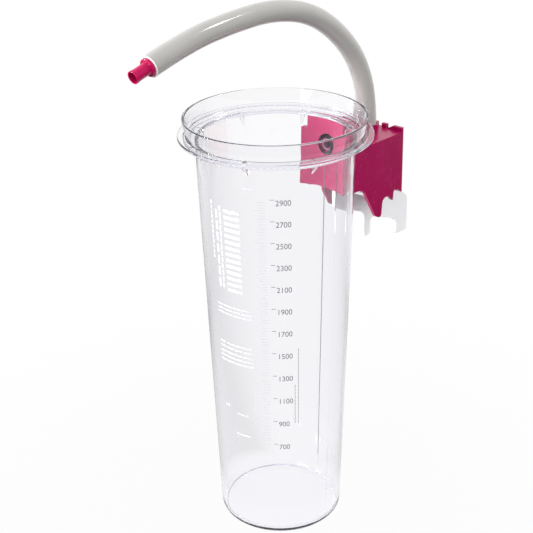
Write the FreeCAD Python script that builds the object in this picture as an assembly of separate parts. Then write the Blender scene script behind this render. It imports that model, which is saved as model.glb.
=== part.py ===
import FreeCAD, Part
import math
import os

from FreeCAD import Vector

# Suction canister: a clear graduated tub held by a moulded bracket that hangs on a rail,
# with a stiff vacuum hose rising from the bracket in an arch to its connector.
# Millimetres. The origin is the centre of the tub's base, +Z is up, the bracket is towards +Y.

# Tub, one clear moulding
TUB_FOOT_RADIUS = 52.15
TUB_TOP_RADIUS = 63.66
TUB_HEIGHT = 343.0
TUB_WALL = 2.6
TUB_FLOOR = 3.0
FOOT_ROUND = 6.5
LEDGE_THICKNESS = 3.0
LEDGE_REACH = 8.8
LEDGE_ROUND = 2.0
FLANGE_REACH = 13.3
FLANGE_THICKNESS = 2.5
COLLAR_RISE = 16.4
COLLAR_REACH = 6.8
COLLAR_FLARE = 2.7
COLLAR_WALL = 2.5
GUSSET_COUNT = 8
GUSSET_THICKNESS = 1.8
GUSSET_HEIGHT = 8.0
SMALL_ROUND = 0.6
MOULD_LINE_WIDTH = 0.6
MOULD_LINE_RISE = 0.25

# Port through the tub's wall
PORT_DROP = 24.5
PORT_OUTSIDE = 17.0
PORT_BORE = 12.0
SEAL_THICKNESS = 2.0

# Bracket housing, one coloured moulding open at the bottom
HOUSING_WIDTH = 49.2
HOUSING_LENGTH = 71.3
HOUSING_WALL = 3.0
DECK_DROP = 27.0
DECK_THICKNESS = 3.0
SADDLE_THICKNESS = 4.0
SADDLE_DROP = 34.2
SADDLE_HEAD_WIDTH = 39.0
SHOULDER_CLEARANCE = 2.3
CORNER_ROUND = 1.5
LIP_HEIGHT = 3.5
LIP_TOOTH_WIDTH = 5.1
LIP_NOTCH_WIDTH = 7.0
LIP_CENTRE_NOTCH = 5.2
LIP_NOTCH_FOOT = 1.0
SKIRT_HEEL = 16.9
SKIRT_HEEL_DROP = 36.6
SKIRT_HEEL_ROUND = 12.0
SKIRT_KNEE_SETBACK = 36.9
SKIRT_KNEE_DROP = 67.3
SKIRT_KNEE_ROUND = 10.0
SKIRT_TIP_SETBACK = 29.5
SKIRT_TIP_DROP = 69.9
SKIRT_TIP_ROUND = 2.5
ARCH_SETBACK = 27.8
ARCH_LENGTH = 7.9
ARCH_DROP = 52.9
ARCH_FRONT_ROUND = 5.0
ARCH_REAR_ROUND = 4.0
STEP_SETBACK = 13.6
STEP_DROP = 59.4
STEP_TOP_SETBACK = 12.5
STEP_TOP_DROP = 50.1
STEP_ROUND = 1.6
CROWN_SETBACK = 8.0
CROWN_DROP = 50.4
CROWN_ROUND = 4.0
REAR_DROP = 55.6
SLOT_DROP = 47.0
HOOD_WALL = 2.0

# Vacuum manifold inside the housing, with the barb that carries the hose
UPRIGHT_OUTSIDE = 13.0
UPRIGHT_BORE = 8.0
DUCT_OUTSIDE = 12.0
DUCT_BORE = 7.4
CAP_THICKNESS = 2.5
RISER_SETBACK = 13.6
SPIGOT_LENGTH = 4.5
SEAT_THICKNESS = 2.4
BARB_LENGTH = 17.0
BARB_RIDGES = 3
BARB_RIDGE_RISE = 0.5
SHOULDER_THICKNESS = 1.5
EAR_SPREAD = 11.5
EAR_SETBACK = 10.0
EAR_LENGTH = 8.0
EAR_THICKNESS = 3.0

# Hook insert, one white plate with a flange along its top
HOOK_THICKNESS = 4.0
HOOK_FLANGE_DROP = 45.0
HOOK_FLANGE_THICKNESS = 3.0
HOOK_FLANGE_WIDTH = 40.0
HOOK_FLANGE_LENGTH = 37.0
HOOK_FLANGE_SETBACK = 6.5
HOOK_TOP_DROP = 32.0
HOOK_NOSE_SETBACK = 61.0
HOOK_NOSE_DROP = 57.0
HOOK_NOSE_ROUND = 8.0
HOOK_CHIN_DROP = 72.6
HOOK_CHIN_ROUND = 9.0
HOOK_FRONT_LEG = 8.6
HOOK_FRONT_LEG_SETBACK = 24.3
HOOK_FRONT_LEG_DROP = 96.0
HOOK_GAP = 38.1
HOOK_WEB_FRONT_DROP = 79.2
HOOK_WEB_FRONT_ROUND = 4.0
HOOK_WEB_REAR_DROP = 93.5
HOOK_WEB_REAR_ROUND = 9.0
HOOK_REAR_LEG = 15.3
HOOK_REAR_LEG_DROP = 108.8
HOOK_REAR_TOP_DROP = 74.9
HOOK_BACK_ROUND = 8.0
HOOK_HEEL_ROUND = 3.0
HOOK_LEG_ROUND = 2.5
HOOK_TOP_SLOPE = 0.603

# Screws
SCREW_SHANK = 3.0
SCREW_HEAD = 6.0
SCREW_HEAD_HEIGHT = 2.2
SCREW_BITE = 7.0
BOSS_OUTSIDE = 8.0
HOOK_BOSS_SPREAD = 15.0
HOOK_BOSS_INSET = 7.0

# Hose and its connector
HOSE_OUTSIDE = 16.5
HOSE_BORE = 10.5
HOSE_SETBACK = 20.0
HOSE_END_DROP = 10.0
HOSE_COLLAR_WALL = 1.2
HOSE_COLLAR_RISE = 7.5
CLIP_WIDTH = 5.0
CLIP_THICKNESS = 1.4
CONNECTOR_FLANGE = 14.0
CONNECTOR_FLANGE_THICKNESS = 2.6
CONNECTOR_NOZZLE = 9.4
CONNECTOR_NOZZLE_LENGTH = 13.6
CONNECTOR_BORE = 6.0
CONNECTOR_MOUTH = 7.6
CONNECTOR_MOUTH_DEPTH = 7.0
CONNECTOR_BEAD_RISE = 0.25
CONNECTOR_BEAD_LENGTH = 2.2
CONNECTOR_BEAD_ROUND = 0.2
CONNECTOR_BARB_LENGTH = 14.0

# The hose's route from its lower end, as (towards +Y, up) steps from that end
HOSE_ROUTE = [
    (0.0, 0.0),
    (0.0, 35.0),
    (-11.0, 70.1),
    (-34.2, 99.1),
    (-70.3, 124.7),
    (-114.7, 135.5),
    (-159.3, 134.7),
    (-204.6, 129.8),
    (-241.0, 119.5),
]
RUN_SHARE = 0.45

# Clearances
SADDLE_GAP = 0.4
SADDLE_TOP_GAP = 0.3
PORT_GAP = 0.5
SPIGOT_GAP = 0.3
HOOD_GAP = 0.5
HOSE_GAP = 0.3
BARB_GAP = 0.15
CLIP_GAP = 0.1
SCREW_GAP = 0.1
SLOT_GAP = 0.5
NOTCH_MARGIN = 1.0

# Heights that follow from the tub
LEDGE_UNDER_Z = TUB_HEIGHT - LEDGE_THICKNESS
COLLAR_FOOT_Z = TUB_HEIGHT + FLANGE_THICKNESS
RIM_Z = TUB_HEIGHT + COLLAR_RISE
PORT_Z = TUB_HEIGHT - PORT_DROP
DECK_Z = TUB_HEIGHT - DECK_DROP
DECK_UNDER_Z = DECK_Z - DECK_THICKNESS
SADDLE_TOP_Z = LEDGE_UNDER_Z - SADDLE_TOP_GAP
SHOULDER_Z = LEDGE_UNDER_Z - GUSSET_HEIGHT - SHOULDER_CLEARANCE
HOOK_FLANGE_TOP_Z = DECK_Z - HOOK_FLANGE_DROP
HOOK_FLANGE_UNDER_Z = HOOK_FLANGE_TOP_Z - HOOK_FLANGE_THICKNESS
HOSE_END_Z = DECK_Z - HOSE_END_DROP
MANIFOLD_Z = HOSE_END_Z - SHOULDER_THICKNESS - UPRIGHT_OUTSIDE / 2

Z_AXIS = Vector(0, 0, 1)
Y_AXIS = Vector(0, 1, 0)


def tub_radius(z):
    """Outside radius of the tub's tapered wall at a height."""
    return TUB_FOOT_RADIUS + (TUB_TOP_RADIUS - TUB_FOOT_RADIUS) * z / TUB_HEIGHT


# Distances along Y that follow from the tub
SADDLE_Y = tub_radius(PORT_Z) + SADDLE_GAP
REAR_Y = SADDLE_Y + HOUSING_LENGTH
HOSE_Y = REAR_Y - HOSE_SETBACK
RISER_Y = SADDLE_Y + RISER_SETBACK
BOSS_END_Y = SADDLE_Y + SADDLE_THICKNESS + PORT_GAP
SEAT_Y = BOSS_END_Y + SEAL_THICKNESS
EAR_Y = RISER_Y + EAR_SETBACK


def collar_radius(z):
    """Outside radius of the flared collar at a height."""
    foot = TUB_TOP_RADIUS + COLLAR_REACH
    return foot + COLLAR_FLARE * (z - COLLAR_FOOT_Z) / (RIM_Z - COLLAR_FOOT_Z)


def corner_arc(before, corner, after):
    """Start, middle and end of the arc that rounds one corner of a flat outline."""
    here = Vector(corner[0], corner[1], 0)
    back = (Vector(before[0], before[1], 0) - here).normalize()
    ahead = (Vector(after[0], after[1], 0) - here).normalize()
    half = back.getAngle(ahead) / 2
    reach = corner[2] / math.tan(half)
    middle = (back + ahead).normalize()
    depth = corner[2] / math.sin(half) - corner[2]
    return here + back * reach, here + middle * depth, here + ahead * reach


def rounded_face(corners, place):
    """Flat face inside (a, b, radius) corners, put in space by a function of a point."""
    stretches = []
    for index, corner in enumerate(corners):
        before = corners[index - 1]
        after = corners[(index + 1) % len(corners)]
        if corner[2] > 0:
            stretches.append(corner_arc(before, corner, after))
        else:
            stretches.append((Vector(corner[0], corner[1], 0),))
    edges = []
    for index, stretch in enumerate(stretches):
        if len(stretch) == 3:
            edges.append(Part.Arc(*[place(point) for point in stretch]).toShape())
        following = stretches[(index + 1) % len(stretches)]
        if stretch[-1].distanceToPoint(following[0]) > Part.Precision.confusion():
            edges.append(Part.LineSegment(place(stretch[-1]), place(following[0])).toShape())
    return Part.Face(Part.Wire(edges))


def on_section(point):
    """A point of a turned outline, as (radius, height)."""
    return Vector(point.x, 0, point.y)


def turned(corners):
    """Solid turned about Z from (radius, height, corner radius) corners."""
    return rounded_face(corners, on_section).revolve(Vector(0, 0, 0), Z_AXIS, 360)


def plate(corners, x_low, x_high):
    """Solid between two X planes from (y, z, corner radius) corners."""

    def on_plane(point):
        return Vector(x_low, point.x, point.y)

    return rounded_face(corners, on_plane).extrude(Vector(x_high - x_low, 0, 0))


def box(x_low, x_high, y_low, y_high, z_low, z_high):
    """Box between its low and high corners."""
    corner = Vector(x_low, y_low, z_low)
    return Part.makeBox(x_high - x_low, y_high - y_low, z_high - z_low, corner)


def post(radius, x, y, z_low, z_high):
    """Upright cylinder."""
    return Part.makeCylinder(radius, z_high - z_low, Vector(x, y, z_low), Z_AXIS)


def rod(radius, y_low, y_high, z):
    """Cylinder along Y in the middle plane."""
    return Part.makeCylinder(radius, y_high - y_low, Vector(0, y_low, z), Y_AXIS)


def ball(radius, y, z):
    """Ball in the middle plane."""
    return Part.makeSphere(radius, Vector(0, y, z))


def cone_round_tub(offset):
    """Cone that follows the tub's wall at a distance outside it."""
    return Part.makeCone(TUB_FOOT_RADIUS + offset, TUB_TOP_RADIUS + offset, TUB_HEIGHT)


def tub():
    """Clear tub with its ledge, flange, collar, gussets, port and the mould line below the port."""
    ledge_radius = TUB_TOP_RADIUS + LEDGE_REACH
    flange_radius = TUB_TOP_RADIUS + FLANGE_REACH
    body = turned([
        (0, 0, 0),
        (TUB_FOOT_RADIUS, 0, FOOT_ROUND),
        (tub_radius(LEDGE_UNDER_Z), LEDGE_UNDER_Z, SADDLE_TOP_GAP),
        (ledge_radius, LEDGE_UNDER_Z, SMALL_ROUND),
        (ledge_radius, TUB_HEIGHT, 0),
        (flange_radius, TUB_HEIGHT, SMALL_ROUND),
        (flange_radius, COLLAR_FOOT_Z, SMALL_ROUND),
        (collar_radius(COLLAR_FOOT_Z), COLLAR_FOOT_Z, SMALL_ROUND),
        (collar_radius(RIM_Z), RIM_Z, COLLAR_WALL / 3),
        (collar_radius(RIM_Z) - COLLAR_WALL, RIM_Z, COLLAR_WALL / 3),
        (collar_radius(TUB_HEIGHT) - COLLAR_WALL, TUB_HEIGHT, SMALL_ROUND),
        (TUB_TOP_RADIUS - TUB_WALL, TUB_HEIGHT, LEDGE_ROUND),
        (tub_radius(TUB_FLOOR) - TUB_WALL, TUB_FLOOR, FOOT_ROUND - TUB_WALL / 2),
        (0, TUB_FLOOR, 0),
    ])
    root = TUB_WALL / 2
    gusset = plate([
        (tub_radius(LEDGE_UNDER_Z) - root, LEDGE_UNDER_Z + root, 0),
        (ledge_radius - SMALL_ROUND, LEDGE_UNDER_Z + root, 0),
        (ledge_radius - SMALL_ROUND, LEDGE_UNDER_Z - SMALL_ROUND, 0),
        (tub_radius(LEDGE_UNDER_Z), LEDGE_UNDER_Z - GUSSET_HEIGHT, 0),
        (tub_radius(LEDGE_UNDER_Z) - root, LEDGE_UNDER_Z - GUSSET_HEIGHT, 0),
    ], -GUSSET_THICKNESS / 2, GUSSET_THICKNESS / 2)
    step = 360 / GUSSET_COUNT
    for index in range(GUSSET_COUNT):
        copy = gusset.copy()
        copy.rotate(Vector(0, 0, 0), Z_AXIS, (index + 0.5) * step)
        body = body.fuse(copy)
    line_low = FOOT_ROUND + LEDGE_ROUND
    body = body.fuse(plate([
        (tub_radius(line_low) - root, line_low, 0),
        (tub_radius(line_low) + MOULD_LINE_RISE, line_low, 0),
        (tub_radius(PORT_Z) + MOULD_LINE_RISE, PORT_Z, 0),
        (tub_radius(PORT_Z) - root, PORT_Z, 0),
    ], -MOULD_LINE_WIDTH / 2, MOULD_LINE_WIDTH / 2))
    wall_middle = tub_radius(PORT_Z) - TUB_WALL / 2
    body = body.fuse(rod(PORT_OUTSIDE / 2, wall_middle, BOSS_END_Y, PORT_Z))
    return body.cut(rod(PORT_BORE / 2, 0, BOSS_END_Y, PORT_Z))


def port_seal():
    """Rubber ring between the tub's port and the manifold's seat."""
    ring = rod(PORT_OUTSIDE / 2, BOSS_END_Y, SEAT_Y, PORT_Z)
    return ring.cut(rod(PORT_BORE / 2, BOSS_END_Y, SEAT_Y, PORT_Z))


def hood_radius():
    """Inside radius of the hood that covers the port and the riser."""
    return PORT_OUTSIDE / 2 + HOOD_GAP


def housing_side():
    """Side outline of the housing below the saddle's head, as (y, z, radius) corners."""
    return [
        (0, DECK_Z, 0),
        (0, DECK_Z - SADDLE_DROP, 0),
        (SADDLE_Y + SKIRT_HEEL, DECK_Z - SKIRT_HEEL_DROP, SKIRT_HEEL_ROUND),
        (REAR_Y - SKIRT_KNEE_SETBACK, DECK_Z - SKIRT_KNEE_DROP, SKIRT_KNEE_ROUND),
        (REAR_Y - SKIRT_TIP_SETBACK, DECK_Z - SKIRT_TIP_DROP, SKIRT_TIP_ROUND),
        (REAR_Y - ARCH_SETBACK, DECK_Z - ARCH_DROP, ARCH_FRONT_ROUND),
        (REAR_Y - ARCH_SETBACK + ARCH_LENGTH, DECK_Z - ARCH_DROP, ARCH_REAR_ROUND),
        (REAR_Y - STEP_SETBACK, DECK_Z - STEP_DROP, SMALL_ROUND),
        (REAR_Y - STEP_TOP_SETBACK, DECK_Z - STEP_TOP_DROP, STEP_ROUND),
        (REAR_Y - CROWN_SETBACK, DECK_Z - CROWN_DROP, CROWN_ROUND),
        (REAR_Y, DECK_Z - REAR_DROP, 0),
        (REAR_Y, DECK_Z + LIP_HEIGHT, 0),
        (REAR_Y - HOUSING_WALL, DECK_Z + LIP_HEIGHT, 0),
        (REAR_Y - HOUSING_WALL, DECK_Z, 0),
    ]


def ear_places():
    """Where the manifold's two ears are screwed up to the deck."""
    return [(side * EAR_SPREAD, EAR_Y) for side in (-1, 1)]


def hook_boss_places():
    """Where the hook insert's flange is screwed up to the housing's long bosses."""
    rear = REAR_Y - HOOK_FLANGE_SETBACK - HOOK_BOSS_INSET
    front = REAR_Y - HOOK_FLANGE_SETBACK - HOOK_FLANGE_LENGTH + HOOK_BOSS_INSET
    return [(side * HOOK_BOSS_SPREAD, y) for y in (front, rear) for side in (-1, 1)]


def bracket_housing():
    """Moulded housing with the saddle, the deck, the port hood and the screw bosses."""
    half = HOUSING_WIDTH / 2
    side = plate(housing_side(), -half, half)
    rear_edges = []
    for edge in side.Edges:
        upright = abs(edge.BoundBox.YLength) + abs(edge.BoundBox.XLength) < SMALL_ROUND
        if upright and abs(edge.BoundBox.YMax - REAR_Y) < SMALL_ROUND:
            rear_edges.append(edge)
    side = side.makeFillet(CORNER_ROUND, rear_edges)
    head = cone_round_tub(SADDLE_GAP + SADDLE_THICKNESS).common(
        box(-half, half, 0, REAR_Y, DECK_UNDER_Z, SADDLE_TOP_Z))
    for low, high in ((-half, -SADDLE_HEAD_WIDTH / 2), (SADDLE_HEAD_WIDTH / 2, half)):
        head = head.cut(box(low, high, 0, REAR_Y, SHOULDER_Z, RIM_Z))
    hood = rod(hood_radius() + HOOD_WALL, SADDLE_Y, RISER_Y, PORT_Z)
    hood = hood.fuse(ball(hood_radius() + HOOD_WALL, RISER_Y, PORT_Z))
    collar_radius_out = HOSE_OUTSIDE / 2 + HOSE_GAP + HOSE_COLLAR_WALL
    collar = post(collar_radius_out, 0, HOSE_Y, DECK_UNDER_Z, DECK_Z + HOSE_COLLAR_RISE)
    body = side.fuse([head, hood, collar]).removeSplitter()

    cavity = box(-half + HOUSING_WALL, half - HOUSING_WALL, 0, REAR_Y - HOUSING_WALL,
                 DECK_Z - SKIRT_TIP_DROP - NOTCH_MARGIN, DECK_UNDER_Z)
    cavity = cavity.cut(cone_round_tub(SADDLE_GAP + SADDLE_THICKNESS))
    body = body.cut(cavity)
    inside = hood_radius()
    well = box(-inside, inside, SADDLE_Y, RISER_Y, DECK_UNDER_Z - NOTCH_MARGIN, PORT_Z)
    well = well.fuse(post(inside, 0, RISER_Y, DECK_UNDER_Z - NOTCH_MARGIN, PORT_Z))
    body = body.cut(well.cut(cone_round_tub(SADDLE_GAP + SADDLE_THICKNESS)))
    body = body.cut(rod(inside, 0, RISER_Y, PORT_Z).fuse(ball(inside, RISER_Y, PORT_Z)))
    body = body.cut(cone_round_tub(SADDLE_GAP).fuse(post(SADDLE_Y, 0, 0, 0, PORT_Z)))
    body = body.cut(post(HOSE_OUTSIDE / 2 + HOSE_GAP, 0, HOSE_Y,
                         DECK_UNDER_Z - NOTCH_MARGIN, DECK_Z + HOSE_COLLAR_RISE))
    body = body.cut(lip_notches())
    slot = HOOK_THICKNESS / 2 + SLOT_GAP
    body = body.cut(box(-slot, slot, REAR_Y - HOUSING_WALL, REAR_Y,
                        DECK_Z - SKIRT_TIP_DROP, DECK_Z - SLOT_DROP))

    ear_top = MANIFOLD_Z + EAR_THICKNESS
    for x, y in ear_places():
        body = body.fuse(post(BOSS_OUTSIDE / 2, x, y, ear_top, DECK_UNDER_Z))
        body = body.cut(screw_hole(x, y, ear_top))
    for x, y in hook_boss_places():
        body = body.fuse(post(BOSS_OUTSIDE / 2, x, y, HOOK_FLANGE_TOP_Z, DECK_UNDER_Z))
        body = body.cut(screw_hole(x, y, HOOK_FLANGE_TOP_Z))
    return body


def lip_notches():
    """The gaps between the lip's teeth: an open one in the middle, and one with a ramp on each side."""
    top = DECK_Z + LIP_HEIGHT
    inner = LIP_CENTRE_NOTCH / 2 + LIP_TOOTH_WIDTH
    corners = [
        (inner, DECK_Z),
        (inner, top),
        (inner + LIP_NOTCH_WIDTH, top),
        (inner + LIP_NOTCH_FOOT, DECK_Z),
        (inner, DECK_Z),
    ]
    ramped = Part.makePolygon([Vector(x, REAR_Y - HOUSING_WALL, z) for x, z in corners])
    ramped = Part.Face(ramped).extrude(Vector(0, HOUSING_WALL, 0))
    centre = LIP_CENTRE_NOTCH / 2
    middle = box(-centre, centre, REAR_Y - HOUSING_WALL, REAR_Y, DECK_Z, top)
    return Part.makeCompound([middle, ramped, ramped.mirror(Vector(0, 0, 0), Vector(1, 0, 0))])


def screw_hole(x, y, z):
    """Hole in a boss for a screw that enters from below."""
    return post(SCREW_SHANK / 2 + SCREW_GAP, x, y, z, z + SCREW_BITE + NOTCH_MARGIN)


def screw(x, y, seat_z, thickness):
    """Pan-head screw from below, through a flange of some thickness into its boss."""
    shank = post(SCREW_SHANK / 2, x, y, seat_z, seat_z + thickness + SCREW_BITE)
    head = post(SCREW_HEAD / 2, x, y, seat_z - SCREW_HEAD_HEIGHT, seat_z)
    rim = [edge for edge in head.Edges if abs(edge.BoundBox.ZMax - head.BoundBox.ZMin) < SCREW_GAP]
    head = head.makeFillet(SCREW_HEAD_HEIGHT / 2, rim)
    drive = box(-SCREW_HEAD / 3, SCREW_HEAD / 3, -SMALL_ROUND, SMALL_ROUND, 0, SMALL_ROUND)
    cross = drive.copy()
    cross.rotate(Vector(0, 0, 0), Z_AXIS, 90)
    drive = drive.fuse(cross)
    drive.translate(Vector(x, y, seat_z - SCREW_HEAD_HEIGHT))
    return head.fuse(shank).cut(drive)


def manifold_screws():
    """The two screws that hold the manifold's ears."""
    return Part.makeCompound([screw(x, y, MANIFOLD_Z, EAR_THICKNESS) for x, y in ear_places()])


def hook_screws():
    """The four screws that hold the hook insert's flange."""
    screws = []
    for x, y in hook_boss_places():
        screws.append(screw(x, y, HOOK_FLANGE_UNDER_Z, HOOK_FLANGE_THICKNESS))
    return Part.makeCompound(screws)


def barb(length, ridge_count):
    """Hose barb along Z from the origin, with ridges that slope towards its tip."""
    radius = HOSE_BORE / 2 - BARB_GAP - BARB_RIDGE_RISE
    pitch = length / (ridge_count + 1)
    body = Part.makeCylinder(radius, length)
    for index in range(ridge_count):
        foot = Vector(0, 0, (index + 1) * pitch)
        body = body.fuse(Part.makeCone(radius + BARB_RIDGE_RISE, radius, pitch * 2 / 3, foot))
    return body


def vacuum_manifold():
    """Duct from the port's seat down, back under the deck and up into the hose."""
    upright = UPRIGHT_OUTSIDE / 2
    duct = DUCT_OUTSIDE / 2
    reach = DUCT_BORE / 2 + CAP_THICKNESS
    ear_half = EAR_SPREAD + BOSS_OUTSIDE / 2
    spigot_y = BOSS_END_Y - SPIGOT_LENGTH
    shoulder_z = HOSE_END_Z - SHOULDER_THICKNESS
    stem = barb(BARB_LENGTH, BARB_RIDGES)
    stem.translate(Vector(0, HOSE_Y, HOSE_END_Z))
    body = rod(PORT_BORE / 2 - SPIGOT_GAP, spigot_y, SEAT_Y, PORT_Z)
    body = body.fuse([
        rod(PORT_OUTSIDE / 2, SEAT_Y, SEAT_Y + SEAT_THICKNESS, PORT_Z),
        rod(duct, SEAT_Y, RISER_Y, PORT_Z),
        post(upright, 0, RISER_Y, MANIFOLD_Z - reach, PORT_Z + reach),
        rod(duct, RISER_Y, HOSE_Y, MANIFOLD_Z),
        post(upright, 0, HOSE_Y, MANIFOLD_Z - reach, shoulder_z),
        post(HOSE_OUTSIDE / 2, 0, HOSE_Y, shoulder_z, HOSE_END_Z),
        box(-ear_half, ear_half, EAR_Y - EAR_LENGTH / 2, EAR_Y + EAR_LENGTH / 2,
            MANIFOLD_Z, MANIFOLD_Z + EAR_THICKNESS),
        stem,
    ])
    bore = DUCT_BORE / 2
    passage = rod(bore, spigot_y, RISER_Y, PORT_Z)
    passage = passage.fuse([
        post(UPRIGHT_BORE / 2, 0, RISER_Y, MANIFOLD_Z - bore, PORT_Z + bore),
        rod(bore, RISER_Y, HOSE_Y, MANIFOLD_Z),
        post(UPRIGHT_BORE / 2, 0, HOSE_Y, MANIFOLD_Z - bore, shoulder_z),
        post(CONNECTOR_BORE / 2, 0, HOSE_Y, MANIFOLD_Z, HOSE_END_Z + BARB_LENGTH),
    ])
    body = body.cut(passage)
    for x, y in ear_places():
        body = body.cut(post(SCREW_SHANK / 2 + SCREW_GAP, x, y, MANIFOLD_Z,
                             MANIFOLD_Z + EAR_THICKNESS))
    return body


def hose_clip():
    """Spring band that grips the hose's lower end on the barb, with its pinched ear."""
    inner = HOSE_OUTSIDE / 2 + CLIP_GAP
    outer = inner + CLIP_THICKNESS
    low = HOSE_END_Z + NOTCH_MARGIN
    high = low + CLIP_WIDTH
    band = post(outer, 0, HOSE_Y, low, high)
    ear = box(-2 * CLIP_THICKNESS, 2 * CLIP_THICKNESS, HOSE_Y - outer - 2 * CLIP_THICKNESS,
              HOSE_Y, low, high)
    return band.fuse(ear).cut(post(inner, 0, HOSE_Y, low, high))


def hook_insert():
    """White plate in the middle plane whose two legs hook over a rail."""
    leg_y = REAR_Y - HOOK_FRONT_LEG_SETBACK
    web_y = leg_y + HOOK_FRONT_LEG
    rear_leg_y = web_y + HOOK_GAP
    back_y = rear_leg_y + HOOK_REAR_LEG
    nose_y = REAR_Y - HOOK_NOSE_SETBACK
    back_z = DECK_Z - HOOK_REAR_TOP_DROP
    top_z = DECK_Z - HOOK_TOP_DROP
    top_y = back_y - (top_z - back_z) / HOOK_TOP_SLOPE
    half = HOOK_THICKNESS / 2
    body = plate([
        (nose_y, top_z, HOOK_LEG_ROUND),
        (nose_y, DECK_Z - HOOK_NOSE_DROP, HOOK_NOSE_ROUND),
        (leg_y, DECK_Z - HOOK_CHIN_DROP, HOOK_CHIN_ROUND),
        (leg_y, DECK_Z - HOOK_FRONT_LEG_DROP, HOOK_LEG_ROUND),
        (web_y, DECK_Z - HOOK_FRONT_LEG_DROP, HOOK_LEG_ROUND),
        (web_y, DECK_Z - HOOK_WEB_FRONT_DROP, HOOK_WEB_FRONT_ROUND),
        (rear_leg_y, DECK_Z - HOOK_WEB_REAR_DROP, HOOK_WEB_REAR_ROUND),
        (rear_leg_y, DECK_Z - HOOK_REAR_LEG_DROP, HOOK_LEG_ROUND),
        (back_y, DECK_Z - HOOK_REAR_LEG_DROP, HOOK_HEEL_ROUND),
        (back_y, back_z, HOOK_BACK_ROUND),
        (top_y, top_z, HOOK_WEB_FRONT_ROUND),
    ], -half, half)
    flange_rear = REAR_Y - HOOK_FLANGE_SETBACK
    body = body.fuse(box(-HOOK_FLANGE_WIDTH / 2, HOOK_FLANGE_WIDTH / 2,
                         flange_rear - HOOK_FLANGE_LENGTH, flange_rear,
                         HOOK_FLANGE_UNDER_Z, HOOK_FLANGE_TOP_Z))
    for x, y in hook_boss_places():
        body = body.cut(post(SCREW_SHANK / 2 + SCREW_GAP, x, y,
                             HOOK_FLANGE_UNDER_Z, HOOK_FLANGE_TOP_Z))
    return body


def hose_points():
    """The hose's route in the middle plane."""
    return [Vector(0, HOSE_Y + step_y, HOSE_END_Z + step_z) for step_y, step_z in HOSE_ROUTE]


def hose_path():
    """Straight runs joined by tangent arcs, each as large as its two runs allow."""
    points = hose_points()
    edges = []
    radii = []
    here = points[0]
    for before, corner, after in zip(points, points[1:], points[2:]):
        back = before - corner
        ahead = after - corner
        shorter = min(back.Length, ahead.Length)
        half_turn = (math.pi - back.getAngle(ahead)) / 2
        reach = RUN_SHARE * shorter
        radius = reach / math.tan(half_turn)
        back.normalize()
        ahead.normalize()
        middle = (back + ahead).normalize()
        depth = radius / math.cos(half_turn) - radius
        start = corner + back * reach
        end = corner + ahead * reach
        edges.append(Part.LineSegment(here, start).toShape())
        edges.append(Part.Arc(start, corner + middle * depth, end).toShape())
        radii.append(radius)
        here = end
    edges.append(Part.LineSegment(here, points[-1]).toShape())
    return Part.Wire(edges), radii


def tube_along(path, radius, start):
    """Round bar of one radius swept along the hose's path."""
    ring = Part.Wire(Part.makeCircle(radius, start, Z_AXIS))
    return path.makePipeShell([ring], True, False)


def vacuum_hose():
    """Plain hose, with its radii and its volume printed for comparison."""
    path, radii = hose_path()
    start = hose_points()[0]
    outer = tube_along(path, HOSE_OUTSIDE / 2, start)
    inner = tube_along(path, HOSE_BORE / 2, start)
    body = outer.cut(inner)
    section = math.pi * (HOSE_OUTSIDE ** 2 - HOSE_BORE ** 2) / 4
    print("hose radii:", [round(radius) for radius in radii])
    print("hose length:", round(path.Length, 1), "volume:", round(body.Volume),
          "section by length:", round(section * path.Length))
    return body


def hose_connector():
    """Connector in the hose's free end: barb, flange and nozzle with a bead at its tip."""
    nozzle = CONNECTOR_NOZZLE / 2
    flange = CONNECTOR_FLANGE / 2
    tip = CONNECTOR_FLANGE_THICKNESS + CONNECTOR_NOZZLE_LENGTH
    bead = tip - CONNECTOR_BEAD_LENGTH
    body = turned([
        (0, 0, 0),
        (flange, 0, CONNECTOR_FLANGE_THICKNESS / 4),
        (flange, CONNECTOR_FLANGE_THICKNESS, CONNECTOR_FLANGE_THICKNESS / 2.5),
        (nozzle, CONNECTOR_FLANGE_THICKNESS, SMALL_ROUND),
        (nozzle, bead - CONNECTOR_BEAD_RISE, 0),
        (nozzle + CONNECTOR_BEAD_RISE, bead, CONNECTOR_BEAD_ROUND),
        (nozzle + CONNECTOR_BEAD_RISE, tip, CONNECTOR_BEAD_ROUND),
        (0, tip, 0),
    ])
    stem = barb(CONNECTOR_BARB_LENGTH, BARB_RIDGES)
    stem.rotate(Vector(0, 0, 0), Vector(1, 0, 0), 180)
    body = body.fuse(stem)
    body = body.cut(Part.makeCylinder(CONNECTOR_BORE / 2, tip + CONNECTOR_BARB_LENGTH,
                                      Vector(0, 0, -CONNECTOR_BARB_LENGTH)))
    body = body.cut(Part.makeCylinder(CONNECTOR_MOUTH / 2, CONNECTOR_MOUTH_DEPTH,
                                      Vector(0, 0, tip - CONNECTOR_MOUTH_DEPTH)))
    points = hose_points()
    turn = FreeCAD.Rotation(Z_AXIS, points[-1] - points[-2])
    body.Placement = FreeCAD.Placement(points[-1], turn)
    return body


PIECES = {
    "tub": tub,
    "port_seal": port_seal,
    "bracket_housing": bracket_housing,
    "vacuum_manifold": vacuum_manifold,
    "manifold_screws": manifold_screws,
    "hose_clip": hose_clip,
    "hook_insert": hook_insert,
    "hook_screws": hook_screws,
    "vacuum_hose": vacuum_hose,
    "hose_connector": hose_connector,
}

os.makedirs("parts", exist_ok=True)
for name, make in PIECES.items():
    shape = make()
    print(name, "valid:", shape.isValid(), "solids:", len(shape.Solids))
    shape.exportStep(os.path.join("parts", name + ".step"))
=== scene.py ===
import math

import bpy
from mathutils import Matrix, Vector


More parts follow.
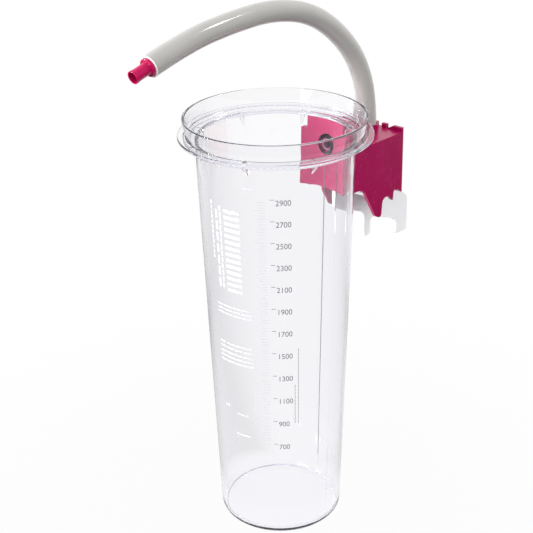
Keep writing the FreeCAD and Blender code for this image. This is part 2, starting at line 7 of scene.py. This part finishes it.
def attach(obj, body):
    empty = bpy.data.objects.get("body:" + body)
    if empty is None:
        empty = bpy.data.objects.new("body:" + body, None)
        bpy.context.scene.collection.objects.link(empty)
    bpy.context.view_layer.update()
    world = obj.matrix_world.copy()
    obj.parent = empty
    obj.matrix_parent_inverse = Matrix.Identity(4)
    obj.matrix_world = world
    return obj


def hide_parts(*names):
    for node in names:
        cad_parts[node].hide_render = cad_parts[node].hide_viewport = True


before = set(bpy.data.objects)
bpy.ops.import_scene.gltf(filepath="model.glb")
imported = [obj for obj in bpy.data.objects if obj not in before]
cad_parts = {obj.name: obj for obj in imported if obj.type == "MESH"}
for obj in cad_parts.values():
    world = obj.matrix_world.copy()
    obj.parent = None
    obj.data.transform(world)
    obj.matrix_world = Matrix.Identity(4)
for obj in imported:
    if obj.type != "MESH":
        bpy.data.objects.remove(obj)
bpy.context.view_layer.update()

# Metres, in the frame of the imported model: +Z up, the bracket towards +Y, the tub's base at the
# origin.

# Camera at the photograph's angle
CAMERA_PLACE = (0.6276, -0.6785, 0.6605)
CAMERA_HEADING = math.radians(-43.33)
CAMERA_PITCH = math.radians(25.0)
CAMERA_ROLL = math.radians(-1.13)
CAMERA_LENS = 83.99
CAMERA_SENSOR = 36.0
CAMERA_NEAREST = 0.01

# Tub's tapered wall
FOOT_RADIUS = 0.05215
TOP_RADIUS = 0.06366
WALL_TOP = 0.343

# Centre and radius of the round between the tub's floor and wall, inside, and the edges and
# middle on it of the grey ring painted there as shade, in degrees from straight down
RING_CENTRE = (0.0446, 0.0082)
RING_ROUND = 0.0052
RING_TURNS = (33, 39, 45)

# Sides of the rings and the floor
SIDES = 96

# Hose, with the route's points as in the part's source
HOSE_START = (0.114538, 0.306)
HOSE_RADIUS = 0.00825
HOSE_STEPS = [
    (0.0, 0.0),
    (0.0, 0.0350),
    (-0.0110, 0.0701),
    (-0.0342, 0.0991),
    (-0.0703, 0.1247),
    (-0.1147, 0.1355),
    (-0.1593, 0.1347),
    (-0.2046, 0.1298),
    (-0.2410, 0.1195),
]
HOSE_RESOLUTION = 24
HOSE_BEVEL_STEPS = 12
# Ring over the hose's cut end, coloured as a painted highlight: inner and outer radius, and how far
# it stands out
END_INSIDE = 0.00705
END_OUTSIDE = 0.00835
END_OUT = 0.0004

# Span of a noise texture's values that is spread over a range
NOISE_LOW = 0.3
NOISE_HIGH = 0.7

# Scales of the noise that varies colour and roughness
COLOUR_NOISE = 60
ROUGH_NOISE = 140

# Clear plastic. The tint is the colour that passes, and a shadow lets most light through
CLEAR_IOR = 1.49
CLEAR_ROUGH = (0.0, 0.03)
CLEAR_ROUGH_NOISE = 90
CLEAR_WAVES = 22
CLEAR_WAVE_STRETCH = (1, 1, 0.25)
CLEAR_WAVE_DEPTH = 0.0004
CLEAR_WAVE_STRENGTH = 0.3
CLEAR_SHADOW = (0.93, 0.93, 0.94, 1)
CLEAR_TINT = (0.375, 0.35, 0.79, 1)
CLEAR_DENSITY = 12.0

# Steel
STEEL_COLOUR = (0.55, 0.55, 0.56, 1)
STEEL_ROUGH = (0.22, 0.4)
STEEL_ROUGH_NOISE = 500
STEEL_GRAIN = 1500
STEEL_DEPTH = 0.00001

# Usual grain of moulded plastic, and the grain of print
GRAIN = 900
GRAIN_DEPTH = 0.00003
INK_GRAIN = 1500
INK_DEPTH = 0.00001

# Print on the tub: its lower and upper face off the wall, and about how wide the parts are
# that a wide bar is cut into
PRINT_IN = 0.00006
PRINT_OUT = 0.00014
BAR_PART = 0.003

# Scale: heights of the marks in ml, the numbers and the tick beside each
SCALE_MARKS = {
    2900: 0.31295, 2700: 0.29512, 2500: 0.27693, 2300: 0.25835, 2100: 0.23936, 1900: 0.21995,
    1700: 0.20007, 1500: 0.17972, 1300: 0.15885, 1100: 0.13743, 900: 0.11543, 700: 0.09281,
}
NUMBER_ANGLE = math.radians(-48.2)
NUMBER_SIZE = 0.0066
NUMBER_WIDTH = 0.92
NUMBER_DROP = 0.0047
TICK = (-0.0042, -0.0008, 0.0001, 0.0005)

# Dashed rules beside the numbers: angle in degrees, lowest and highest point
RULES = ((-31.6, 0.1127, 0.1866), (-34.4, 0.1131, 0.1515))
RULE_HALF = 0.0002
RULE_DASH = 0.0026
RULE_STEP = 0.0034

# Fine marks between the numbers
FINE_ANGLE = math.radians(-55)
FINE_STEPS = 8
FINE_LONG = 0.0070
FINE_SHORT = 0.0055
FINE_HEIGHT = 0.0003

# Grey strip of painted shade along the mould line up the near wall, in pieces that follow the taper
LINE_ANGLE = math.radians(-12.3)
LINE_HALF = 0.00025
LINE_LOW = 0.076
LINE_HIGH = 0.338
LINE_STEP = 0.0100

# Light: sides of the world towards the backdrop and towards its bright part
BACKDROP_SIDE = (-0.68, 0.73, 0)
BRIGHT_SIDE = (-0.473, 0.881, 0)
WHITE = (1, 1, 1, 1)

# World and floor. Each edge is the span over which a value goes from its first to its last
BRIGHT_EDGE = (0.84, 0.975)
FLOOR_SIDE = 0.84
BACK_EDGE = (-0.1, 0.5)
BACK_LOW = 0.10
OVERHEAD_EDGE = (0.45, 0.95)
OVERHEAD = 0.55
AMBIENT_EDGE = (0.0, 0.25)
AMBIENT = (0.1, 2.25)
AMBIENT_TOP_EDGE = (0.3, 0.9)
AMBIENT_TOP = 0.35
FLOOR_REACH = 3.0
FLOOR_DROP = 0.0003
FLOOR_COLOUR = (0.1, 0.1, 0.1, 1)
FLOOR_ROUGH = 0.9
FOOT_EDGE = (0.065, 0.16)
NEAR_EDGE = (0.10, 0.6)
NEAR_LOW = 0.08
BEHIND_EDGE = (0.15, 0.5)
SHARE_EDGE = (0.05, 0.5)
FLOOR_SHARE = 0.97


def place_camera():
    heading = Vector((math.sin(CAMERA_HEADING) * math.cos(CAMERA_PITCH),
                      math.cos(CAMERA_HEADING) * math.cos(CAMERA_PITCH),
                      -math.sin(CAMERA_PITCH)))
    right = Vector((math.cos(CAMERA_HEADING), -math.sin(CAMERA_HEADING), 0))
    up = right.cross(heading)
    rolled_right = math.cos(CAMERA_ROLL) * right + math.sin(CAMERA_ROLL) * up
    rolled_up = -math.sin(CAMERA_ROLL) * right + math.cos(CAMERA_ROLL) * up
    turn = Matrix((rolled_right, rolled_up, -heading)).transposed()
    lens = bpy.data.cameras.new("camera")
    lens.lens = CAMERA_LENS
    lens.sensor_width = CAMERA_SENSOR
    lens.clip_start = CAMERA_NEAREST
    camera = bpy.data.objects.new("camera", lens)
    camera.matrix_world = Matrix.Translation(CAMERA_PLACE) @ turn.to_4x4()
    bpy.context.collection.objects.link(camera)
    bpy.context.scene.camera = camera


def hose_curve():
    """The hose. Its points carry its radius, because a curve's box grows by its points' radius."""
    curve = bpy.data.curves.new("hose_tube", "CURVE")
    curve.dimensions = "3D"
    curve.resolution_u = HOSE_RESOLUTION
    curve.bevel_depth = 1
    curve.bevel_resolution = HOSE_BEVEL_STEPS
    curve.use_fill_caps = True
    spline = curve.splines.new("NURBS")
    spline.points.add(len(HOSE_STEPS) - 1)
    for point, (along, up) in zip(spline.points, HOSE_STEPS):
        point.co = (0, HOSE_START[0] + along, HOSE_START[1] + up, 1)
        point.radius = HOSE_RADIUS
    spline.order_u = 3
    spline.use_endpoint_u = True
    spline.use_smooth = True
    hose = bpy.data.objects.new("hose_tube", curve)
    bpy.context.collection.objects.link(hose)
    return hose


place_camera()
hose = hose_curve()
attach(hose, "root")
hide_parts("vacuum_hose")


def new_material(name):
    material = bpy.data.materials.new(name)
    material.use_nodes = True
    tree = material.node_tree
    tree.nodes.clear()
    output = tree.nodes.new("ShaderNodeOutputMaterial")
    shader = tree.nodes.new("ShaderNodeBsdfPrincipled")
    tree.links.new(shader.outputs["BSDF"], output.inputs["Surface"])
    return material, tree, shader, output


def noise(tree, scale, detail=2.0, stretch=None):
    place = tree.nodes.new("ShaderNodeTexCoord")
    texture = tree.nodes.new("ShaderNodeTexNoise")
    texture.inputs["Scale"].default_value = scale
    texture.inputs["Detail"].default_value = detail
    source = place.outputs["Object"]
    if stretch:
        mapping = tree.nodes.new("ShaderNodeMapping")
        mapping.inputs["Scale"].default_value = stretch
        tree.links.new(source, mapping.inputs["Vector"])
        source = mapping.outputs["Vector"]
    tree.links.new(source, texture.inputs["Vector"])
    return texture.outputs["Fac"]


def ranged(tree, value, low, high):
    """A noise value spread over low to high."""
    spread = tree.nodes.new("ShaderNodeMapRange")
    spread.inputs["From Min"].default_value = NOISE_LOW
    spread.inputs["From Max"].default_value = NOISE_HIGH
    spread.inputs["To Min"].default_value = low
    spread.inputs["To Max"].default_value = high
    tree.links.new(value, spread.inputs["Value"])
    return spread.outputs["Result"]


def blended(tree, factor, first, second):
    mix = tree.nodes.new("ShaderNodeMix")
    mix.data_type = "RGBA"
    mix.inputs["A"].default_value = (*first, 1)
    mix.inputs["B"].default_value = (*second, 1)
    tree.links.new(factor, mix.inputs["Factor"])
    return mix.outputs["Result"]


def bump(tree, shader, height, depth, strength=1.0):
    node = tree.nodes.new("ShaderNodeBump")
    node.inputs["Distance"].default_value = depth
    node.inputs["Strength"].default_value = strength
    tree.links.new(height, node.inputs["Height"])
    tree.links.new(node.outputs["Normal"], shader.inputs["Normal"])


def srgb(red, green, blue):
    """Linear colour from sRGB bytes, by the curve's upper part, which all colours here lie on
    or near."""
    return tuple(((c / 255 + 0.055) / 1.055) ** 2.4 for c in (red, green, blue))


def moulded(name, colour, other, rough_low, rough_high, grain=GRAIN, depth=GRAIN_DEPTH):
    """Moulded plastic, rubber or ink with a little variation in colour, gloss and grain."""
    material, tree, shader, _ = new_material(name)
    tree.links.new(blended(tree, ranged(tree, noise(tree, COLOUR_NOISE), 0, 1), colour, other),
                   shader.inputs["Base Color"])
    tree.links.new(ranged(tree, noise(tree, ROUGH_NOISE, 3), rough_low, rough_high),
                   shader.inputs["Roughness"])
    bump(tree, shader, noise(tree, grain, 3), depth)
    return material


def clear_plastic():
    material, tree, shader, output = new_material("clear_plastic")
    shader.inputs["Base Color"].default_value = WHITE
    shader.inputs["Transmission Weight"].default_value = 1.0
    shader.inputs["IOR"].default_value = CLEAR_IOR
    tree.links.new(ranged(tree, noise(tree, CLEAR_ROUGH_NOISE, 3), *CLEAR_ROUGH),
                   shader.inputs["Roughness"])
    bump(tree, shader, noise(tree, CLEAR_WAVES, 1, CLEAR_WAVE_STRETCH), CLEAR_WAVE_DEPTH,
         CLEAR_WAVE_STRENGTH)
    clear = tree.nodes.new("ShaderNodeBsdfTransparent")
    clear.inputs["Color"].default_value = CLEAR_SHADOW
    path = tree.nodes.new("ShaderNodeLightPath")
    mix = tree.nodes.new("ShaderNodeMixShader")
    tree.links.new(path.outputs["Is Shadow Ray"], mix.inputs["Fac"])
    tree.links.new(shader.outputs["BSDF"], mix.inputs[1])
    tree.links.new(clear.outputs["BSDF"], mix.inputs[2])
    tree.links.new(mix.outputs["Shader"], output.inputs["Surface"])
    absorb = tree.nodes.new("ShaderNodeVolumeAbsorption")
    absorb.inputs["Color"].default_value = CLEAR_TINT
    absorb.inputs["Density"].default_value = CLEAR_DENSITY
    tree.links.new(absorb.outputs["Volume"], output.inputs["Volume"])
    return material


def steel():
    material, tree, shader, _ = new_material("steel")
    shader.inputs["Metallic"].default_value = 1.0
    shader.inputs["Base Color"].default_value = STEEL_COLOUR
    tree.links.new(ranged(tree, noise(tree, STEEL_ROUGH_NOISE, 4), *STEEL_ROUGH),
                   shader.inputs["Roughness"])
    bump(tree, shader, noise(tree, STEEL_GRAIN, 2), STEEL_DEPTH)
    return material


# Each material's two colours, its lowest and highest roughness, and its grain's scale and depth
# where they aren't the usual
materials = {
    "tub": clear_plastic(),
    "bracket_housing": moulded("magenta_plastic", srgb(162, 8, 80), srgb(156, 6, 76),
                               0.2, 0.3, GRAIN, 0.000006),
    "hose_connector": moulded("connector_plastic", srgb(186, 16, 84), srgb(180, 14, 80),
                              0.14, 0.2, GRAIN, 0.000004),
    "hook_insert": moulded("white_plastic", srgb(250, 249, 251), srgb(247, 246, 249), 0.3, 0.42),
    "port_seal": moulded("seal_rubber", srgb(92, 70, 84), srgb(78, 58, 72), 0.2, 0.35),
    "vacuum_manifold": moulded("inner_plastic", srgb(142, 100, 120), srgb(128, 88, 108),
                               0.12, 0.25),
    "manifold_screws": steel(),
}
materials["hook_screws"] = materials["manifold_screws"]
materials["hose_clip"] = materials["manifold_screws"]
for name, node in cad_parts.items():
    if name in materials:
        node.data.materials.clear()
        node.data.materials.append(materials[name])

hose.data.materials.append(moulded("hose_rubber", srgb(175, 173, 170), srgb(172, 170, 167),
                                   0.1, 0.15, 400, 0.000003))


def revolved(name, section, place):
    """Closed ring mesh: the section's points at each side, joined to those of the next side."""
    mesh = bpy.data.meshes.new(name)
    count = len(section)
    vertices = [place(math.tau * index / SIDES, point)
                for index in range(SIDES) for point in section]
    faces = []
    for index in range(SIDES):
        here, following = index * count, (index + 1) % SIDES * count
        for corner in range(count):
            beside = (corner + 1) % count
            faces.append((here + corner, following + corner, following + beside, here + beside))
    mesh.from_pydata(vertices, [], faces)
    mesh.update()
    return mesh


def hose_end():
    """The hose's cut end round the connector's flange, coloured near white as a painted
    highlight of the light that falls on it.
    """
    before, last = (Vector((0, HOSE_START[0] + along, HOSE_START[1] + up))
                    for along, up in HOSE_STEPS[-2:])
    onward = (last - before).normalized()
    side = Vector((1, 0, 0))
    up = onward.cross(side)
    section = ((END_INSIDE, 0.0), (END_OUTSIDE, 0.0), (END_OUTSIDE, END_OUT), (END_INSIDE, END_OUT))
    mesh = revolved("hose_end", section, lambda turn, point: (
        last + point[0] * (math.cos(turn) * side + math.sin(turn) * up) + point[1] * onward))
    # Near white, paler than the hose's rubber: a painted highlight of the lit end face
    mesh.materials.append(moulded("hose_end", srgb(250, 249, 247), srgb(247, 246, 244),
                                  0.4, 0.5, GRAIN, 0.000005))
    piece = bpy.data.objects.new("hose_end", mesh)
    bpy.context.collection.objects.link(piece)
    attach(piece, "root")


hose_end()


def wall_radius(height):
    return FOOT_RADIUS + (TOP_RADIUS - FOOT_RADIUS) * height / WALL_TOP


def wrapped(mesh, angle, height):
    """Bends a flat print mesh (x along the wall, y up, z outwards) onto the tub."""
    around = wall_radius(height)
    for vertex in mesh.vertices:
        x, y, z = vertex.co
        radius = wall_radius(height + y) + z
        turn = angle + x / around
        vertex.co = (radius * math.cos(turn), radius * math.sin(turn), height + y)
    mesh.update()


def flat_bars(name, bars):
    """Thin solids from (x_low, x_high, y_low, y_high) bars, cut along x so that they bend."""
    vertices = []
    faces = []
    for x_low, x_high, y_low, y_high in bars:
        parts = max(1, round((x_high - x_low) / BAR_PART))
        rings = []
        for index in range(parts + 1):
            x = x_low + (x_high - x_low) * index / parts
            start = len(vertices)
            vertices += [(x, y_low, PRINT_IN), (x, y_high, PRINT_IN),
                         (x, y_high, PRINT_OUT), (x, y_low, PRINT_OUT)]
            rings.append(range(start, start + 4))
        for before, after in zip(rings, rings[1:]):
            for side in range(4):
                following = (side + 1) % 4
                faces.append((before[side], after[side], after[following], before[following]))
        faces.append(tuple(rings[0]))
        faces.append(tuple(reversed(rings[-1])))
    mesh = bpy.data.meshes.new(name)
    mesh.from_pydata(vertices, [], faces)
    return mesh


def number_mesh(text, size):
    curve = bpy.data.curves.new("number", "FONT")
    curve.body = text
    curve.size = size
    curve.align_x = "LEFT"
    curve.align_y = "BOTTOM_BASELINE"
    curve.extrude = (PRINT_OUT - PRINT_IN) / 2
    holder = bpy.data.objects.new("number", curve)
    mesh = bpy.data.meshes.new_from_object(holder)
    bpy.data.objects.remove(holder)
    for vertex in mesh.vertices:
        vertex.co.z += (PRINT_OUT + PRINT_IN) / 2
    return mesh


def print_piece(name, meshes, material):
    """One object from several print meshes, riding with the part."""
    vertices = []
    faces = []
    for mesh in meshes:
        start = len(vertices)
        vertices += [tuple(v.co) for v in mesh.vertices]
        faces += [tuple(start + i for i in p.vertices) for p in mesh.polygons]
    joined = bpy.data.meshes.new(name)
    joined.from_pydata(vertices, [], faces)
    joined.update()
    joined.materials.append(material)
    piece = bpy.data.objects.new(name, joined)
    bpy.context.collection.objects.link(piece)
    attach(piece, "root")


def steps(low, high, step):
    return [low + index * step for index in range(int((high - low) / step))]


# Plain bars in the places of the white lettering: each bar's or column's sides, then its heights
LETTER_ANGLE = math.radians(-81)
WORDS = [(-0.0180, -0.0120), (-0.0112, -0.0040), (-0.0032, 0.0030), (0.0038, 0.0120)]
UPPER_ROWS = (0.2080, 0.2115, 0.2150)
LOWER_ROWS = (0.1640, 0.1680, 0.1720, 0.1765, 0.1805)
LETTER_BARS = [
    *[(-0.0190, -0.0175, y, y + 0.0030) for y in steps(0.2550, 0.3060, 0.0042)],
    *[(-0.0145, -0.0125, y, y + 0.0075) for y in steps(0.2320, 0.3080, 0.0098)],
    *[(-0.0108, -0.0092, y, y + 0.0042) for y in steps(0.2320, 0.3060, 0.0055)],
    *[(-0.0066, 0.0058, y, y + 0.0028) for y in steps(0.2300, 0.3080, 0.0052)],
    (0.0090, 0.0160, 0.3200, 0.3212),
    *[(low, high, y, y + 0.0013) for y in UPPER_ROWS for low, high in WORDS],
    *[(low, high, y, y + 0.0015) for y in LOWER_ROWS for low, high in WORDS],
    (-0.0170, -0.0120, 0.1200, 0.1216),
    (-0.0040, 0.0060, 0.1160, 0.1172),
    (-0.0060, 0.0070, 0.0960, 0.0974),
]

grey_ink = moulded("grey_ink", srgb(118, 118, 124), srgb(126, 126, 131),
                   0.4, 0.5, INK_GRAIN, INK_DEPTH)
numbers = []
for volume, height in SCALE_MARKS.items():
    mesh = number_mesh(str(volume), NUMBER_SIZE)
    for vertex in mesh.vertices:
        vertex.co.x *= NUMBER_WIDTH
    wrapped(mesh, NUMBER_ANGLE, height - NUMBER_DROP)
    numbers.append(mesh)
    tick = flat_bars("tick", [TICK])
    wrapped(tick, NUMBER_ANGLE, height)
    numbers.append(tick)
for angle, low, high in RULES:
    dashes = [(-RULE_HALF, RULE_HALF, y, y + RULE_DASH) for y in steps(low, high, RULE_STEP)]
    rule = flat_bars("rule", dashes)
    wrapped(rule, math.radians(angle), 0)
    numbers.append(rule)
print_piece("scale_numbers", numbers, grey_ink)

white_ink = moulded("white_ink", srgb(228, 228, 230), srgb(222, 222, 225),
                    0.4, 0.5, INK_GRAIN, INK_DEPTH)
pale_ink = moulded("pale_ink", srgb(214, 214, 219), srgb(208, 208, 214),
                   0.4, 0.5, INK_GRAIN, INK_DEPTH)
fine_marks = []
for low, high in zip(list(SCALE_MARKS)[1:], SCALE_MARKS):
    step = (SCALE_MARKS[high] - SCALE_MARKS[low]) / FINE_STEPS
    for index in range(FINE_STEPS):
        length = FINE_LONG if index % (FINE_STEPS // 2) == 0 else FINE_SHORT
        y = SCALE_MARKS[low] + index * step
        fine_marks.append((-length, 0, y, y + FINE_HEIGHT))
fine = flat_bars("fine_marks", fine_marks)
wrapped(fine, FINE_ANGLE, 0)
lettering = flat_bars("lettering", LETTER_BARS)
wrapped(lettering, LETTER_ANGLE, 0)
print_piece("scale_marks", [fine], pale_ink)
print_piece("side_print", [lettering], white_ink)

# The mould line's dark look on the clear wall, painted on as a grey strip of shade
line = flat_bars("mould_line_painted_shade", [(-LINE_HALF, LINE_HALF, y, y + LINE_STEP)
                                for y in steps(LINE_LOW, LINE_HIGH, LINE_STEP)])
wrapped(line, LINE_ANGLE, 0)
painted_line_shade_grey = moulded("painted_line_shade_grey", srgb(150, 150, 158), srgb(142, 142, 150), 0.3, 0.4)
print_piece("mould_line_painted_shade", [line], painted_line_shade_grey)


def floor_ring():
    """A grey ring of painted shade on the inner round, where the tub's floor turns into its wall.
    """
    section = []
    for radius, turns in ((RING_ROUND + PRINT_IN, RING_TURNS),
                          (RING_ROUND - PRINT_OUT, reversed(RING_TURNS))):
        for turn in turns:
            lean = math.radians(turn)
            section.append((RING_CENTRE[0] + radius * math.sin(lean),
                            RING_CENTRE[1] - radius * math.cos(lean)))
    return revolved("floor_ring", section, lambda turn, point: (
        point[0] * math.cos(turn), point[0] * math.sin(turn), point[1]))


# Grey of the ring: painted shade for the darker look of the clear fillet
painted_fillet_shade_grey = moulded("painted_fillet_shade_grey", srgb(178, 178, 186), srgb(170, 170, 178), 0.3, 0.4)
print_piece("floor_ring", [floor_ring()], painted_fillet_shade_grey)


def softbox(name, place, size, power, aim):
    lamp = bpy.data.lights.new(name, "AREA")
    lamp.shape = "RECTANGLE"
    lamp.size = size[0]
    lamp.size_y = size[1]
    lamp.energy = power
    holder = bpy.data.objects.new(name, lamp)
    holder.location = place
    holder.rotation_euler = (Vector(aim) - Vector(place)).to_track_quat("-Z", "Y").to_euler()
    bpy.context.collection.objects.link(holder)


def joined_by(tree, operation, first, second):
    """The product, the larger or another combination of two values."""
    node = tree.nodes.new("ShaderNodeMath")
    node.operation = operation
    tree.links.new(first, node.inputs[0])
    tree.links.new(second, node.inputs[1])
    return node.outputs[0]


def product(tree, first, second):
    return joined_by(tree, "MULTIPLY", first, second)


def larger(tree, first, second):
    return joined_by(tree, "MAXIMUM", first, second)


def any_ray(tree, kinds):
    """1 for rays of the given kinds, 0 for the others."""
    path = tree.nodes.new("ShaderNodeLightPath")
    total = path.outputs[kinds[0]]
    for kind in kinds[1:]:
        total = larger(tree, total, path.outputs[kind])
    return total


def spread_out(tree, value, edge, low, high):
    """Goes smoothly from low to high while the value goes over the edge."""
    node = tree.nodes.new("ShaderNodeMapRange")
    node.interpolation_type = "SMOOTHSTEP"
    node.inputs["From Min"].default_value = edge[0]
    node.inputs["From Max"].default_value = edge[1]
    node.inputs["To Min"].default_value = low
    node.inputs["To Max"].default_value = high
    tree.links.new(value, node.inputs["Value"])
    return node.outputs["Result"]


def towards(tree, direction, side):
    """How far a direction or place goes towards a side."""
    node = tree.nodes.new("ShaderNodeVectorMath")
    node.operation = "DOT_PRODUCT"
    node.inputs[1].default_value = side
    tree.links.new(direction, node.inputs[0])
    return node.outputs["Value"]


def bright_behind(tree, direction):
    """1 for level directions towards the bright side, less for the others."""
    level = tree.nodes.new("ShaderNodeVectorMath")
    level.operation = "MULTIPLY"
    level.inputs[1].default_value = (1, 1, 0)
    tree.links.new(direction, level.inputs[0])
    onward = tree.nodes.new("ShaderNodeVectorMath")
    onward.operation = "NORMALIZE"
    tree.links.new(level.outputs[0], onward.inputs[0])
    aligned = towards(tree, onward.outputs[0], BRIGHT_SIDE)
    return spread_out(tree, aligned, BRIGHT_EDGE, FLOOR_SIDE, 1.0)


def by_reflection(tree, through, mirrored):
    """The first value for rays through clear plastic, the second for reflected rays."""
    path = tree.nodes.new("ShaderNodeLightPath")
    reflected = tree.nodes.new("ShaderNodeMath")
    reflected.operation = "SUBTRACT"
    reflected.use_clamp = True
    tree.links.new(path.outputs["Is Glossy Ray"], reflected.inputs[0])
    tree.links.new(path.outputs["Is Transmission Ray"], reflected.inputs[1])
    mix = tree.nodes.new("ShaderNodeMix")
    tree.links.new(reflected.outputs[0], mix.inputs["Factor"])
    tree.links.new(through, mix.inputs["A"])
    tree.links.new(mirrored, mix.inputs["B"])
    return mix.outputs["Result"]


def mixed_shader(tree, factor, first, second):
    mix = tree.nodes.new("ShaderNodeMixShader")
    tree.links.new(factor, mix.inputs["Fac"])
    tree.links.new(first, mix.inputs[1])
    tree.links.new(second, mix.inputs[2])
    return mix.outputs[0]


def white_background(tree):
    node = tree.nodes.new("ShaderNodeBackground")
    node.inputs["Color"].default_value = WHITE
    return node


def white_world():
    """Plain white for the camera. What reflects is dimmer overhead and on the near side."""
    world = bpy.data.worlds.new("studio")
    world.use_nodes = True
    tree = world.node_tree
    tree.nodes.clear()
    output = tree.nodes.new("ShaderNodeOutputWorld")
    place = tree.nodes.new("ShaderNodeTexCoord").outputs["Generated"]
    split = tree.nodes.new("ShaderNodeSeparateXYZ")
    tree.links.new(place, split.inputs[0])
    height = split.outputs["Z"]
    back = spread_out(tree, towards(tree, place, BACKDROP_SIDE), BACK_EDGE, BACK_LOW, 1.0)
    overhead = spread_out(tree, height, OVERHEAD_EDGE, 1.0, OVERHEAD)
    mirrored = white_background(tree)
    tree.links.new(by_reflection(tree, bright_behind(tree, place), product(tree, back, overhead)),
                   mirrored.inputs["Strength"])
    ambient = white_background(tree)
    tree.links.new(product(tree, spread_out(tree, height, AMBIENT_EDGE, *AMBIENT),
                           spread_out(tree, height, AMBIENT_TOP_EDGE, 1.0, AMBIENT_TOP)),
                   ambient.inputs["Strength"])
    light = mixed_shader(tree, any_ray(tree, ["Is Glossy Ray", "Is Transmission Ray"]),
                         ambient.outputs[0], mirrored.outputs[0])
    white = white_background(tree)
    tree.links.new(mixed_shader(tree, any_ray(tree, ["Is Camera Ray"]), light, white.outputs[0]),
                   output.inputs["Surface"])
    bpy.context.scene.world = world


def floor():
    """Pale floor that keeps a faint shadow near the object and ends in the white of the world."""
    ring = [(FLOOR_REACH * math.cos(math.tau * i / SIDES),
             FLOOR_REACH * math.sin(math.tau * i / SIDES), 0) for i in range(SIDES)]
    mesh = bpy.data.meshes.new("floor")
    mesh.from_pydata(ring, [], [tuple(range(SIDES))])
    piece = bpy.data.objects.new("floor", mesh)
    piece.location = (0, 0, -FLOOR_DROP)
    bpy.context.collection.objects.link(piece)
    material, tree, shader, output = new_material("floor")
    shader.inputs["Base Color"].default_value = FLOOR_COLOUR
    shader.inputs["Roughness"].default_value = FLOOR_ROUGH
    glow = tree.nodes.new("ShaderNodeEmission")
    place = tree.nodes.new("ShaderNodeTexCoord").outputs["Object"]
    distance = tree.nodes.new("ShaderNodeVectorMath")
    distance.operation = "LENGTH"
    tree.links.new(place, distance.inputs[0])
    away = distance.outputs["Value"]
    refracted = larger(tree, spread_out(tree, away, FOOT_EDGE, 1.0, 0.0),
                       bright_behind(tree, place))
    near = spread_out(tree, away, NEAR_EDGE, 1.0, NEAR_LOW)
    behind = spread_out(tree, towards(tree, place, BACKDROP_SIDE), BEHIND_EDGE, 0.0, 1.0)
    mirrored = product(tree, refracted, larger(tree, near, behind))
    path = tree.nodes.new("ShaderNodeLightPath")
    seen = tree.nodes.new("ShaderNodeMix")
    tree.links.new(path.outputs["Is Camera Ray"], seen.inputs["Factor"])
    tree.links.new(by_reflection(tree, refracted, mirrored), seen.inputs["A"])
    seen.inputs["B"].default_value = 1.0
    tree.links.new(seen.outputs["Result"], glow.inputs["Strength"])
    rays = any_ray(tree, ["Is Camera Ray", "Is Glossy Ray", "Is Transmission Ray"])
    share = product(tree, rays, spread_out(tree, away, SHARE_EDGE, FLOOR_SHARE, 1.0))
    tree.links.new(mixed_shader(tree, share, shader.outputs["BSDF"], glow.outputs[0]),
                   output.inputs["Surface"])
    mesh.materials.append(material)


white_world()
floor()
# Each light's place, size, power in watts and the point that it faces
softbox("key_light", (-0.12, -1.8, 0.62), (0.80, 0.30), 8, (0, 0, 0.3))
softbox("side_light", (-1.2, -1.3, 0.75), (0.45, 0.5), 23, (0, 0.05, 0.3))
softbox("top_light", (0.62, 0.86, 1.6), (0.25, 0.25), 4, (0, 0, 0.25))
bpy.context.scene.view_settings.view_transform = "Standard"
